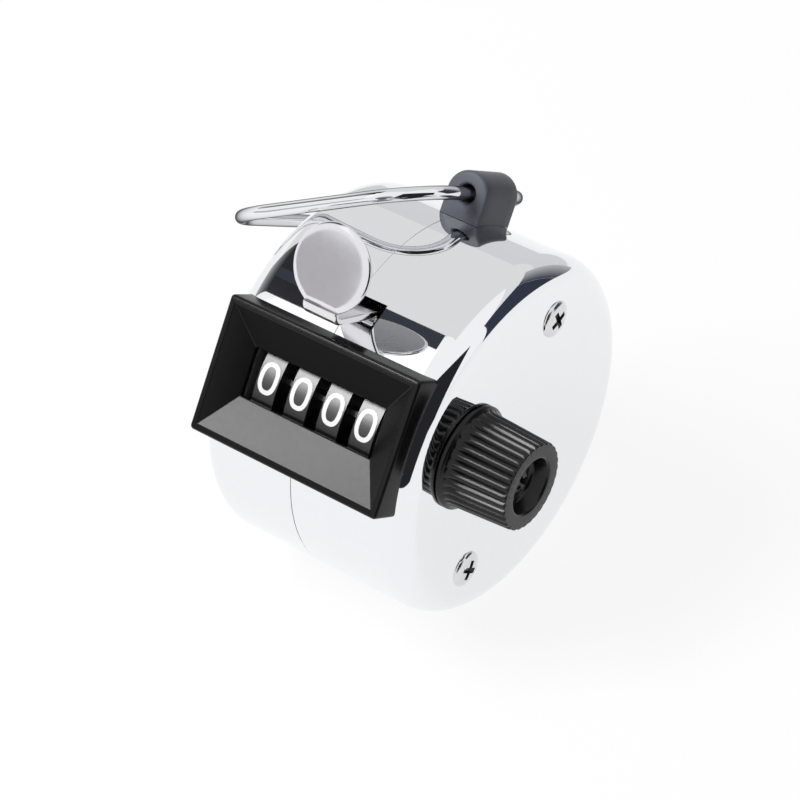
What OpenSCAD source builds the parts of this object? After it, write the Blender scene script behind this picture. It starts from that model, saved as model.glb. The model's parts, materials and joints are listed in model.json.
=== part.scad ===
// Hand tally counter: a chromed drum with a thumb lever, four number wheels behind a window,
// a reset knob and a finger ring. Millimetres. X runs along the drum's axis towards the knob,
// -Y is the front, +Z is up, and the origin is the drum's centre.

/* [Drum] */
// Outer radius of the drum
drum_r = 23; // [22.6:0.1:26]
// Length of the drum between its flat ends
drum_len = 30; // [29:0.5:36]
// Radius of the rounded rims
rim_r = 3.45; // [2:0.05:4]
// Thickness of the sheet
wall = 0.7; // [0.5:0.05:0.8]
// Seam between the two cups, from the middle of the drum
seam_x = -0.85; // [-2:0.05:-0.5]
// Length of the lap tongue behind the seam
lap_len = 2; // [1:0.1:3]

/* [Window] */
// Angle of the window above the front
win_angle = 31; // [28:0.5:34]
// Width of the window frame
bezel_w = 27.2; // [25:0.2:28]
// Height of the window frame
bezel_h = 16.8; // [14:0.2:18]
// How far the frame stands out of the drum
bezel_proud = 1.9; // [1.4:0.1:2.6]
// Width of the flat front rim
bezel_rim = 0.9; // [0.6:0.1:1.5]
// How far the frame's middle lies above the window's middle
bezel_shift = -0.3; // [-0.6:0.1:0.6]
// Width of the window
win_w = 18.9; // [17.5:0.1:19.5]
// Height of the window
win_h = 6.1; // [5:0.1:7]

/* [Number wheels] */
// Distance of the wheel shaft in front of the drum's axis
shaft_front = 9.94; // [9.6:0.02:10]
// Height of the wheel shaft above the drum's axis
shaft_rise = 4.77; // [4.5:0.01:5]
// Gap between the number wheels and the inside of the drum
wheel_clear = 0.27; // [0.2:0.01:1]
// Distance from one number wheel to the next
wheel_pitch = 4.7; // [4.6:0.05:4.9]
// Width of a number band
band_w = 3; // [2.8:0.05:3.05]
// Radius of the wheel shaft
shaft_r = 1.5; // [1.2:0.05:1.8]
// Direction of the carry pinions below the rear
pinion_dip = 30; // [20:1:40]
// Radius of the pinion shaft
pinion_shaft_r = 1; // [0.8:0.05:1.1]

/* [Ratchet] */
// Outer radius of the ratchet
ratchet_r = 5.2; // [5:0.05:5.4]
// Depth of the ratchet's teeth
ratchet_depth = 1.5; // [1.3:0.05:1.6]
// Thickness of the ratchet
ratchet_w = 1.2; // [1:0.1:1.4]
// Height of the pawl's pin above the ratchet's teeth
pawl_rise = 1.8; // [1.6:0.1:2]

/* [Lever] */
// Angle of the rocker shaft above the front
lever_angle = 60.5; // [59.5:0.5:61.5]
// Radius of the rocker shaft
lever_shaft_r = 0.8; // [0.7:0.05:0.9]
// Radius of the lever's hub
lever_hub_r = 1.55; // [1.4:0.05:1.6]
// Thickness of the lever's sheet
lever_t = 0.9; // [0.7:0.05:1]
// Width of the lever's arm
lever_w = 4.75; // [4:0.05:5.5]
// Length of the arm outside the drum
lever_reach = 7.5; // [6.5:0.1:10]
// Tilt of the arm above the level
lever_tilt = 25; // [22:0.5:28]
// Radius of the thumb pad
pad_r = 5.2; // [4.5:0.1:6.5]
// Height of the pad's middle above the arm
pad_rise = 5.75; // [5.6:0.05:8]
// Width of the slot
slot_w = 6.4; // [5.8:0.1:7]
// Length of the slot
slot_len = 3.4; // [3.3:0.1:4]
// How far the slot's middle lies above the rocker shaft's direction
slot_rise = 0.3; // [0.25:0.05:0.5]

/* [Reset knob] */
// Radius of the knob's flange
knob_flange_r = 6.5; // [6.2:0.1:8]
// Radius of the grip at the flange
knob_base_r = 5.9; // [5.6:0.1:6.2]
// Radius of the grip at its end
knob_end_r = 5.5; // [4.8:0.1:5.8]
// Length of the knob
knob_len = 8.88; // [7.5:0.01:11]
// Radius of the recess in the knob's end
knob_bowl_r = 3.45; // [2.8:0.05:3.8]
// Depth of the recess
knob_bowl_h = 2.2; // [1.6:0.1:4.5]
// Number of grip ribs
knob_ribs = 30; // [20:1:36]

/* [Finger ring] */
// Angle of the ring block round the drum
block_angle = 121; // [112:1:130]
// Length of the block along the hole
block_len = 7.7; // [6:0.1:8.5]
// Radius of the block's rounded top
block_r = 2.8; // [2.6:0.1:3.4]
// Height of the hole above the drum
hole_h = 2.9; // [2.8:0.1:3.4]
// Width of the ring along the hole, at the wire's middle
ring_w = 28; // [28:0.1:31]
// Length of the ring across the hole, at the wire's middle
ring_l = 28.7; // [26:0.1:30]
// Radius of the ring's four corners, at the wire's middle
ring_corner = 7.5; // [5:0.1:9]
// Radius of the ring's wire
wire_r = 0.85; // [0.6:0.05:0.9]
// How far the resting ring hangs below the block's level
ring_droop = 26.5; // [18:0.5:26.5]

/* [Fasteners] */
// Rear and height position of the upper cover screw
screw_a = [7.2, 14.2]; // [5:0.1:15]
// Rear and height position of the lower cover screw
screw_b = [-9.9, -12.8]; // [-14:0.1:-8]
// Radius of a cover screw's head
screw_head_r = 2.3; // [1.8:0.1:2.6]
// Height of a cover screw's head
screw_head_h = 0.9; // [0.6:0.1:1.4]
// Length of a cover screw's shank
screw_len = 6; // [4:0.5:8]
// Radius of a cover screw's shank
screw_r = 1.1; // [0.8:0.05:1.3]
// Radius of a frame post
post_r = 2.2; // [1.9:0.1:2.6]

/* [Hidden] */
$fn = 96;
fit = 0.02;
run = 0.04;
seat = 0.02;
half = drum_len / 2;
in_r = drum_r - wall;
in_half = half - wall;
axle = [-shaft_front, shaft_rise];
win_n = [-cos(win_angle), sin(win_angle)];
lever_hub_gap = 0.35;
lever_r = in_r - lever_hub_gap - lever_hub_r;
pivot = lever_r * [-cos(lever_angle), sin(lever_angle)];
hub_clear = 0.43;
wheel_r = min(in_r - norm(axle) - wheel_clear, norm(pivot - axle) - lever_hub_r - hub_clear);
wheel_gap = 0.3;
lip_rho = axle * win_n + wheel_r + wheel_gap;
bezel_front = drum_r + bezel_proud;
lip_edge = 0.8;
floor_rho = lip_rho + 0.5;
gap_w = wheel_pitch - band_w;
stack = 1.5 * wheel_pitch + band_w / 2;
gear_w = 0.8;
lug_w = gap_w - gear_w - 0.15;
hub_r = shaft_r + 1.2;
pinion_gap = 0.32;
gear_module = (wheel_r + pinion_gap + pinion_shaft_r) / 14;
gear_r = 10 * gear_module;
pinion_r = 4 * gear_module;
pinion_at = axle + (gear_r + pinion_r) * [cos(pinion_dip), -sin(pinion_dip)];
pinion_w = gap_w - 0.3;
slot_at = lever_angle + 0.3;
arm_at = drum_r * [-cos(slot_at), sin(slot_at)];
arm_in = 2;
bend_r = 1.05;
crank_x = stack + ratchet_w + 0.2;
crank_t = 0.8;
pawl_x = stack + 0.3;
pawl_t = ratchet_w - 0.4;
pin_r = 0.45;
pin_at = [pivot[0], axle[1] + ratchet_r + pawl_rise];
detent_pin_r = 0.7;
detent_reach = ratchet_r + detent_pin_r + 1;
detent_z = axle[1] - ratchet_r - 1.2;
tooth_step = 36;
tip_r = 0.3;
tip_at_r = ratchet_r - tip_r;
flank_lead = (tip_r + 0.08) / tip_at_r * 180 / PI;
plate_t = 1;
plate_r = in_r - 0.4;
plate_l_x = -stack - gap_w / 2 - 0.1 - plate_t;
plate_r_x = crank_x + crank_t + 0.55;
clip_t = 0.5;
clip_w = 1.3;
clip_gap = 0.15;
knob_gap = 0.12;
knob_x = half + knob_gap;
shaft_end = knob_x + knob_len - knob_bowl_h - 0.4;
knob_screw_r = 0.7;
knob_screw_len = 2.8;
knob_screw_head_r = 1.9;
knob_screw_head_h = 1;
coil_wire = 0.2;
coil_r = lever_shaft_r + 0.45;
coil_pitch = 0.9;
coil_turns = 5;
coil_gap = coil_pitch - 2 * coil_wire;
echo(coil_least_gap = coil_gap);
ring_end = ring_w - 2 * ring_corner;
ring_side = ring_l - 2 * ring_corner;
hole_r = wire_r + 0.35;
rivet_r = 0.8;
rivet_x = 0.8;
steel = [0.75, 0.76, 0.78];
dark = [0.1, 0.1, 0.11];
brass = [0.8, 0.66, 0.35];

// A rod along X at a place in the side view
module rod(at, x, r, l) {
  translate([x, at[0], at[1]])
    rotate([0, 90, 0])
      cylinder(r = r, h = l);
}

// A side view outline given thickness along X
module side(x, w) {
  translate([x, 0, 0])
    rotate([90, 0, 90])
      linear_extrude(w)
        children();
}

// A straight bar of a side view from one place to another
module bar(a, b, w) {
  d = b - a;
  translate(a)
    rotate(atan2(d[1], d[0]))
      translate([0, -w / 2])
        square([norm(d), w]);
}

// A drum with rounded rims
module drum_solid(r, h, f) {
  rotate([0, 90, 0]) {
    translate([0, 0, -h + f])
      cylinder(r = r, h = 2 * (h - f));
    translate([0, 0, -h])
      cylinder(r = r - f, h = 2 * h);
    for (s = [-1, 1])
      translate([0, 0, s * (h - f)])
        rotate_extrude()
          translate([r - f, 0])
            circle(f);
  }
}

// The hollow drum before it is parted at the seam
module drum_skin() {
  difference() {
    drum_solid(drum_r, half, rim_r);
    drum_solid(in_r, in_half, rim_r - wall);
  }
}

// Openings for the window frame, the lever and the rivet
module drum_openings() {
  open_w = win_w + 2 * lip_edge + 2 * fit;
  open_h = win_h + 2 * lip_edge + 2 * fit;
  rotate([-win_angle, 0, 0])
    translate([-open_w / 2, -drum_r - 1, -open_h / 2])
      cube([open_w, 4, open_h]);
  rotate([-lever_angle, 0, 0])
    translate([-slot_w / 2, -drum_r - 1, slot_rise - slot_len / 2])
      cube([slot_w, 3, slot_len]);
  rotate([-block_angle, 0, 0])
    translate([rivet_x, -in_r + 3, 0])
      rotate([90, 0, 0])
        cylinder(r = rivet_r + fit, h = 6);
}

module left_shell() {
  color(steel)
    difference() {
      union() {
        intersection() {
          drum_skin();
          translate([-half - 1, -drum_r - 1, -drum_r - 1])
            cube([half + 1 + seam_x, 2 * drum_r + 2, 2 * drum_r + 2]);
        }
        intersection() {
          difference() {
            union() {
              rod([0, 0], seam_x - 1.5, in_r + wall / 2, 1.5);
              rod([0, 0], seam_x - 0.5, in_r - fit, lap_len + 0.5);
            }
            rod([0, 0], seam_x - 2, in_r - wall, lap_len + 3);
          }
          translate([-half, -7, -drum_r])
            cube([drum_len, drum_r + 7, 2 * drum_r]);
        }
      }
      drum_openings();
    }
}

module right_shell() {
  color(steel)
    difference() {
      intersection() {
        drum_skin();
        translate([seam_x, -drum_r - 1, -drum_r - 1])
          cube([half + 1 - seam_x, 2 * drum_r + 2, 2 * drum_r + 2]);
      }
      drum_openings();
      rod(axle, in_half - 1, shaft_r + 0.25, wall + 2);
      for (p = [screw_a, screw_b])
        rod(p, in_half - 1, screw_r + fit, wall + 2);
    }
}

// The sloping well of the window, seen straight on
module window_well() {
  a = bezel_w / 2 - bezel_rim;
  b = bezel_h / 2 - bezel_rim;
  w = win_w / 2;
  h = win_h / 2;
  y0 = -bezel_front - 1;
  y1 = -bezel_front;
  y2 = -floor_rho;
  y3 = -lip_rho + 1;
  intersection() {
    translate([0, 0, -bezel_h])
      linear_extrude(2 * bezel_h)
        polygon([[-a, y0], [a, y0], [a, y1], [w, y2], [w, y3], [-w, y3], [-w, y2], [-a, y1]]);
    side(-bezel_w, 2 * bezel_w)
      polygon([[y0, bezel_shift - b], [y1, bezel_shift - b], [y2, -h], [y3, -h],
        [y3, h], [y2, h], [y1, bezel_shift + b], [y0, bezel_shift + b]]);
  }
}

module bezel() {
  lip_w = win_w + 2 * lip_edge;
  lip_h = win_h + 2 * lip_edge;
  color(dark)
    difference() {
      union() {
        difference() {
          rotate([-win_angle, 0, 0])
            translate([-bezel_w / 2, -bezel_front, bezel_shift - bezel_h / 2])
              cube([bezel_w, bezel_proud + 5, bezel_h]);
          drum_solid(drum_r + seat, half, rim_r);
        }
        rotate([-win_angle, 0, 0])
          translate([-lip_w / 2, -drum_r - 0.4, -lip_h / 2])
            cube([lip_w, drum_r + 0.4 - lip_rho, lip_h]);
      }
      rotate([-win_angle, 0, 0])
        window_well();
    }
}

// Outline of the thumb pad from its neck up
module pad_outline() {
  d = [lever_w / 2, bend_r - pad_rise];
  t = atan2(d[1], d[0]) + acos(pad_r / norm(d));
  translate([0, pad_rise])
    circle(pad_r);
  polygon([[-d[0], bend_r], [d[0], bend_r],
    [pad_r * cos(t), pad_rise + pad_r * sin(t)], [-pad_r * cos(t), pad_rise + pad_r * sin(t)]]);
}

module thumb_lever() {
  color(steel)
    difference() {
      union() {
        rod(pivot, -lever_w / 2, lever_hub_r, lever_w);
        translate([0, arm_at[0], arm_at[1]])
          rotate([-lever_tilt, 0, 0]) {
            translate([-lever_w / 2, -lever_reach + bend_r, -lever_t / 2])
              cube([lever_w, lever_reach - bend_r + arm_in, lever_t]);
            intersection() {
              difference() {
                rod([-lever_reach + bend_r, bend_r], -lever_w / 2, bend_r + lever_t / 2, lever_w);
                rod([-lever_reach + bend_r, bend_r], -lever_w, bend_r - lever_t / 2, 2 * lever_w);
              }
              translate([-lever_w, -lever_reach - lever_t, -lever_t])
                cube([2 * lever_w, lever_t + bend_r, lever_t + bend_r]);
            }
            translate([0, -lever_reach + lever_t / 2, 0])
              rotate([90, 0, 0])
                linear_extrude(lever_t)
                  pad_outline();
          }
      }
      rod(pivot, -lever_w, lever_shaft_r + fit, 2 * lever_w);
    }
}

module lever_shaft() {
  color(steel)
    rod(pivot, plate_l_x - 0.3, lever_shaft_r, plate_r_x + plate_t - plate_l_x + 0.6);
}

module drive_arm() {
  color(steel)
    difference() {
      union() {
        rod(pivot, crank_x, lever_hub_r, crank_t);
        side(crank_x, crank_t)
          bar(pivot, pin_at, 1.7);
        rod(pin_at, crank_x, 1.1, crank_t);
        rod(pin_at, pawl_x - 0.1, pin_r, crank_x + crank_t / 2 - pawl_x + 0.1);
      }
      rod(pivot, crank_x - 1, lever_shaft_r + fit, crank_t + 2);
    }
}

// A place round the wheel shaft, counted forward from straight up
function round_axle(r, a) = axle + r * [-sin(a), cos(a)];

module pawl() {
  knee = round_axle(norm(pin_at - axle), -tooth_step);
  tip = round_axle(tip_at_r, -tooth_step);
  color(brass)
    difference() {
      union() {
        rod(pin_at, pawl_x, 1, pawl_t);
        side(pawl_x, pawl_t) {
          bar(pin_at, knee, 0.9);
          bar(knee, tip, 2 * tip_r);
        }
        rod(knee, pawl_x, 0.45, pawl_t);
        rod(tip, pawl_x, tip_r, pawl_t);
      }
      rod(pin_at, pawl_x - 1, pin_r + run, pawl_t + 2);
    }
}

module ratchet() {
  root = ratchet_r - ratchet_depth;
  color(brass)
    difference() {
      side(stack, ratchet_w)
        polygon([for (k = [0 : 9], s = [0, 1])
          round_axle(s == 0 ? root : ratchet_r, -tooth_step + flank_lead + tooth_step * k)]);
      rod(axle, stack - 1, shaft_r + run, ratchet_w + 2);
    }
}

module detent_spring() {
  y = axle[0];
  tip_z = axle[1] - ratchet_r + ratchet_depth - 0.45;
  color(steel)
    difference() {
      union() {
        side(pawl_x, pawl_t) {
          translate([y - 0.9, detent_z - 0.2])
            square([detent_reach + 0.9, 0.4]);
          polygon([[y - 0.9, detent_z], [y + 0.25, detent_z], [y + 0.15, tip_z],
            [y - 0.15, tip_z]]);
        }
        rod([y + detent_reach, detent_z], pawl_x, detent_pin_r + 0.5, pawl_t);
      }
      rod([y + detent_reach, detent_z], pawl_x - 1, detent_pin_r + fit, pawl_t + 2);
    }
}

// Teeth of a gear standing on a disc, with a given width at root and tip
module teeth(angles, r0, r1, w0, w1) {
  for (a = angles)
    rotate(a)
      polygon([[r0 - 0.3, -w0 / 2], [r1, -w1 / 2], [r1, w1 / 2], [r0 - 0.3, w0 / 2]]);
}

// A number wheel with a carry gear on its right or a carry lug on its left
module number_wheel(c, gear, lug) {
  m = gear_module;
  left = c - band_w / 2;
  color(dark)
    difference() {
      union() {
        rod(axle, left, wheel_r, band_w);
        rod(axle, left - gap_w / 2 + 0.08, hub_r, band_w + (gear ? gap_w - 0.16 : gap_w / 2 - 0.08));
        if (gear)
          side(left + band_w - 0.2, gear_w + 0.2)
            translate(axle) {
              circle(gear_r - 1.08 * m);
              teeth([for (k = [0 : 19]) -pinion_dip + 9 + 18 * k], gear_r - 1.08 * m,
                gear_r + 0.8 * m, 1.85 * m, 0.75 * m);
            }
        if (lug)
          side(left - lug_w, lug_w + 0.2)
            translate(axle) {
              circle(gear_r - 1.25 * m);
              teeth([45 - pinion_dip, 63 - pinion_dip], gear_r - 1.25 * m,
                gear_r + 0.8 * m, 1.85 * m, 0.75 * m);
            }
      }
      rod(axle, left - wheel_pitch, shaft_r + run, 3 * wheel_pitch);
      difference() {
        rod(axle, left + 1, wheel_r - 1.4, band_w - 2);
        rod(axle, left, hub_r, band_w);
      }
    }
}

module thousands_wheel() {
  number_wheel(-1.5 * wheel_pitch, true, false);
}

module hundreds_wheel() {
  number_wheel(-0.5 * wheel_pitch, true, true);
}

module tens_wheel() {
  number_wheel(0.5 * wheel_pitch, true, true);
}

module units_wheel() {
  number_wheel(1.5 * wheel_pitch, false, true);
}

// A carry pinion in the gap to the right of a number wheel
module carry_pinion(c) {
  m = gear_module;
  color(brass)
    difference() {
      side(c + band_w / 2 + 0.15, pinion_w)
        translate(pinion_at) {
          circle(pinion_r - m);
          teeth([for (k = [0 : 7]) 180 - pinion_dip + 45 * k], pinion_r - m,
            pinion_r + 0.75 * m, 1.9 * m, 0.7 * m);
        }
      rod(pinion_at, c, pinion_shaft_r + run, 2 * wheel_pitch);
    }
}

module thousands_pinion() {
  carry_pinion(-1.5 * wheel_pitch);
}

module hundreds_pinion() {
  carry_pinion(-0.5 * wheel_pitch);
}

module tens_pinion() {
  carry_pinion(0.5 * wheel_pitch);
}

module pinion_shaft() {
  color(steel)
    rod(pinion_at, plate_l_x, pinion_shaft_r, plate_r_x + plate_t - plate_l_x);
}

// A side plate with its bores
module side_plate(x) {
  difference() {
    rod([0, 0], x, plate_r, plate_t);
    rod(axle, x - 1, shaft_r + run, plate_t + 2);
    rod(pivot, x - 1, lever_shaft_r + run, plate_t + 2);
    rod(pinion_at, x - 1, pinion_shaft_r + fit, plate_t + 2);
    for (p = [screw_a, screw_b])
      rod(p, x - 1, post_r + fit, plate_t + 2);
    rod(plate_r * [0.41, -0.41], x - 1, 0.27 * plate_r, plate_t + 2);
  }
}

module left_plate() {
  color(steel)
    side_plate(plate_l_x);
}

module right_plate() {
  color(steel) {
    side_plate(plate_r_x);
    rod([axle[0] + detent_reach, detent_z], pawl_x - 0.1, detent_pin_r, plate_r_x - pawl_x + 0.2);
  }
}

module frame_posts() {
  color(steel)
    for (p = [screw_a, screw_b])
      difference() {
        rod(p, -in_half, post_r, 2 * in_half);
        rod(p, half - screw_len - 1, screw_r + fit, screw_len + 1);
      }
}

module counter_shaft() {
  color(steel)
    difference() {
      rod(axle, plate_l_x - clip_t - 0.6, shaft_r, shaft_end - plate_l_x + clip_t + 0.6);
      rod(axle, shaft_end - knob_screw_len, knob_screw_r + fit, knob_screw_len + 1);
    }
}

module shaft_clip() {
  color(steel)
    difference() {
      rod(axle, plate_l_x - clip_t - clip_gap, shaft_r + clip_w, clip_t);
      rod(axle, plate_l_x - 2 * clip_t - clip_gap, shaft_r + fit, 3 * clip_t);
    }
}

module reset_knob() {
  flange_h = 0.7;
  grip = knob_len - flange_h;
  step = 360 / knob_ribs;
  deep = knob_base_r - 0.45;
  color(dark)
    difference() {
      union() {
        rod(axle, knob_x, knob_flange_r, flange_h);
        translate([knob_x + flange_h - 0.1, axle[0], axle[1]])
          rotate([90, 0, 90])
            linear_extrude(grip + 0.1, scale = knob_end_r / knob_base_r)
              polygon([for (k = [0 : knob_ribs - 1], p = [[0, 0], [0.3, 1], [0.7, 1], [1, 0]])
                (p[1] == 0 ? deep : knob_base_r)
                  * [cos((k + 0.9 * p[0]) * step), sin((k + 0.9 * p[0]) * step)]]);
      }
      rod(axle, knob_x + knob_len - knob_bowl_h, knob_bowl_r, knob_bowl_h + 1);
      rod(axle, knob_x - 1, shaft_r + fit, shaft_end - knob_x + 1 + fit);
      rod(axle, knob_x, knob_screw_r + fit, knob_len);
    }
}

// A cross recess in a screw head
module cross_cut(at, x, l, h) {
  translate([x - h, at[0], at[1]])
    for (a = [0, 90])
      rotate([45 + a, 0, 0])
        translate([0, -l / 2, -0.3])
          cube([h + 1, l, 0.6]);
}

module knob_screw() {
  x = knob_x + knob_len - knob_bowl_h;
  color(steel)
    difference() {
      union() {
        rod(axle, x, knob_screw_head_r, knob_screw_head_h);
        rod(axle, x - knob_screw_len, knob_screw_r, knob_screw_len + knob_screw_head_h / 4);
      }
      cross_cut(axle, x + knob_screw_head_h, 1.26 * knob_screw_head_r, knob_screw_head_h / 2);
    }
}

module cover_screws() {
  h = screw_head_h;
  color(steel)
    for (p = [screw_a, screw_b])
      difference() {
        union() {
          rod(p, half, screw_head_r, h / 2);
          translate([half + h / 2, p[0], p[1]])
            rotate([0, 90, 0])
              cylinder(r1 = screw_head_r, r2 = 0.74 * screw_head_r, h = h / 2);
          rod(p, half - screw_len, screw_r, screw_len + h / 4);
        }
        cross_cut(p, half + h, 1.2 * screw_head_r, h * 2 / 3);
      }
}

module ring_block() {
  color([0.29, 0.31, 0.34])
    difference() {
      rotate([-block_angle, 0, 0]) {
        difference() {
          translate([0, -drum_r - hole_h, -block_len / 2]) {
            cylinder(r = block_r, h = block_len);
            translate([-block_r, 0, 0])
              cube([2 * block_r, hole_h + 0.8, block_len]);
          }
          translate([0, -drum_r - hole_h, -block_len])
            cylinder(r = hole_r, h = 2 * block_len);
          translate([rivet_x, -in_r + 1, 0])
            rotate([90, 0, 0])
              cylinder(r = rivet_r + fit, h = 1 + wall + 0.9);
        }
      }
      rod([0, 0], -half, drum_r + seat, drum_len);
    }
}

module block_rivet() {
  top = drum_r + 0.85;
  under = in_r - wall - 0.1;
  color(steel)
    rotate([-block_angle, 0, 0])
      translate([rivet_x, -under + 0.7, 0])
        rotate([90, 0, 0]) {
          cylinder(r = 1.5, h = 0.7);
          cylinder(r = rivet_r, h = top - under + 0.7);
        }
}

// A bent piece of wire
module wire_arc(r, from, turn) {
  rotate([0, 0, from])
    rotate_extrude(angle = turn, $fn = 72)
      translate([r, 0])
        circle(wire_r, $fn = 16);
}

module finger_ring() {
  color(steel)
    rotate([-block_angle, 0, 0])
      translate([0, -drum_r - hole_h, 0])
        rotate([0, 0, -ring_droop])
          translate([-ring_l / 2, 0, 0])
            rotate([90, 0, 0])
              for (a = [0, 180])
                rotate([0, 0, a]) {
                  translate([ring_l / 2, 0, 0])
                    rotate([90, 0, 0])
                      cylinder(r = wire_r, h = ring_end, center = true, $fn = 16);
                  translate([ring_side / 2, ring_end / 2, 0])
                    wire_arc(ring_corner, 0, 90);
                  translate([0, ring_w / 2, 0])
                    rotate([0, 90, 0])
                      cylinder(r = wire_r, h = ring_side, center = true, $fn = 16);
                  translate([-ring_side / 2, ring_end / 2, 0])
                    wire_arc(ring_corner, 90, 90);
                }
}

module lever_spring() {
  n = 8 * coil_turns;
  x0 = lever_w / 2 + 0.25;
  ring = [for (k = [0 : 5]) coil_wire * [cos(60 * k), sin(60 * k)]];
  pts = [for (i = [0 : n], q = ring)
    [x0 + i * coil_pitch / 8 + q[1], pivot[0] + (coil_r + q[0]) * cos(45 * i),
      pivot[1] + (coil_r + q[0]) * sin(45 * i)]];
  walls = [for (i = [0 : n - 1], k = [0 : 5], s = [0, 1])
    s == 0
      ? [6 * i + k, 6 * i + (k + 1) % 6, 6 * i + 6 + (k + 1) % 6]
      : [6 * i + k, 6 * i + 6 + (k + 1) % 6, 6 * i + 6 + k]];
  color(steel)
    polyhedron(points = pts, faces = concat(walls, [[5, 4, 3, 2, 1, 0]],
      [[for (k = [0 : 5]) 6 * n + k]]));
}

left_shell();
right_shell();
bezel();
thumb_lever();
reset_knob();
knob_screw();
cover_screws();
ring_block();
block_rivet();
finger_ring();
left_plate();
right_plate();
frame_posts();
counter_shaft();
shaft_clip();
thousands_wheel();
hundreds_wheel();
tens_wheel();
units_wheel();
ratchet();
thousands_pinion();
hundreds_pinion();
tens_pinion();
pinion_shaft();
lever_shaft();
drive_arm();
pawl();
lever_spring();
detent_spring();
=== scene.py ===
"""Dresses a hand tally counter: drum, window frame, lever, knob, ring, block and figures."""

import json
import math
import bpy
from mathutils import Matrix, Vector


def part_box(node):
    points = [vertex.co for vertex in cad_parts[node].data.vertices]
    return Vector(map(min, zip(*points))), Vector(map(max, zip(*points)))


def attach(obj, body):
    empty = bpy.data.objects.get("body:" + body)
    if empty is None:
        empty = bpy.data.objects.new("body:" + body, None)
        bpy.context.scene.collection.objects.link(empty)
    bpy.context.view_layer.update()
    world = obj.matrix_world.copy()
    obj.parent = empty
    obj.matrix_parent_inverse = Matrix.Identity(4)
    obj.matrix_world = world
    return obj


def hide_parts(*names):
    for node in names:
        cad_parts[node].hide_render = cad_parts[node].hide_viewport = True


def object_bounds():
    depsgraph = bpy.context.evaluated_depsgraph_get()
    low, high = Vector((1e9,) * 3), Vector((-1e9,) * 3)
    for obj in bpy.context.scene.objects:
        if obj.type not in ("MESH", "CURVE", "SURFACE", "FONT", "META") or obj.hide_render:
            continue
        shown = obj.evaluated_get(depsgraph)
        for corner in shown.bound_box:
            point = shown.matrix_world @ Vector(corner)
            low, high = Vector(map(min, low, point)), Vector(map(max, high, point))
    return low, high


bl_info = {
    "name": "Hand Tally Counter",
    "version": (1, 0, 0),
    "blender": (4, 5, 0),
    "location": "3D View > Sidebar > Tally Counter",
    "description": "Builds the visible pieces, finishes and studio of a hand tally counter",
    "category": "Object",
}

from types import SimpleNamespace

import bmesh
import bpy
import numpy as np
from mathutils import Matrix, Vector

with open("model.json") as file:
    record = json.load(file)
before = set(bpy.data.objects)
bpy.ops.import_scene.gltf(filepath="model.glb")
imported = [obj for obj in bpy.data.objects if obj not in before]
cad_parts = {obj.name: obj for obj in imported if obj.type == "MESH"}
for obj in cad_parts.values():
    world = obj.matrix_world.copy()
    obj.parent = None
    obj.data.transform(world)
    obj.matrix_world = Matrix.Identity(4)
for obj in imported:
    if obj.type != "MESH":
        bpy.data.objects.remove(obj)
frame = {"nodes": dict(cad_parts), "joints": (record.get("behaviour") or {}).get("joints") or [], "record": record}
cad_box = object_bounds()

MM = 0.001
SLOTS = {m["slot"]: tuple(m["base_color"][:3]) for m in frame["record"]["materials"]}
JOINTS = {j["name"]: j for j in frame["joints"]}
WHEELS = ("thousands", "hundreds", "tens", "units")
SEAT_GAP = 0.03  # millimetres between the drum's skin and what sits on it


def joint_place(name):
    """Side view place of a joint's axis, in millimetres: distance to the rear, height."""
    pos = JOINTS[name]["pos_m"]
    return pos[1] / MM, pos[2] / MM


# Sizes and colours a user would change


def size(label, default, text, low=0.0):
    """A length, with its default given in millimetres."""
    return bpy.props.FloatProperty(
        name=label, description=text, default=default * MM, min=low * MM, unit="LENGTH", precision=5
    )


def tint(label, default, text):
    """A finish's base colour."""
    return bpy.props.FloatVectorProperty(
        name=label, description=text, default=default, subtype="COLOR", min=0.0, max=1.0
    )


def scaled(colour, share):
    """A record's colour times a share, so that the lit surface shows the tone in the photo."""
    return tuple(part * share for part in colour)


def own_props(settings):
    """The properties that a group of settings defines itself."""
    return [p for p in settings.bl_rna.properties if p.identifier not in {"rna_type", "name"}]


def in_mm(settings):
    """The values of a group of settings, with its lengths in millimetres."""
    values = SimpleNamespace()
    for prop in own_props(settings):
        value = getattr(settings, prop.identifier)
        length = prop.type == "FLOAT" and prop.unit == "LENGTH"
        setattr(values, prop.identifier, value / MM if length else value)
    return values


class CaseSizes(bpy.types.PropertyGroup):
    """Sizes of the drum and its window frame."""

    drum_r: size("Drum radius", 23.0, "Outer radius of the drum")
    drum_half: size("Half length", 15.0, "Half the drum's length")
    rim_r: size("Rim radius", 3.45, "Radius of the rounded rims")
    wall: size("Sheet", 0.7, "Thickness of the sheet")
    seam_x: size("Seam", -0.85, "Place of the seam along the drum", -15.0)
    win_angle: bpy.props.FloatProperty(
        name="Window angle",
        description="Angle of the window above the front",
        default=math.radians(31.0),
        subtype="ANGLE",
    )
    bezel_w: size("Frame width", 27.2, "Width of the window frame")
    bezel_h: size("Frame height", 16.8, "Height of the window frame")
    bezel_front: size("Frame front", 24.9, "Distance of the frame's front from the drum's axis")
    win_w: size("Window width", 18.9, "Width of the window")
    win_h: size("Window height", 6.1, "Height of the window")


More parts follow.
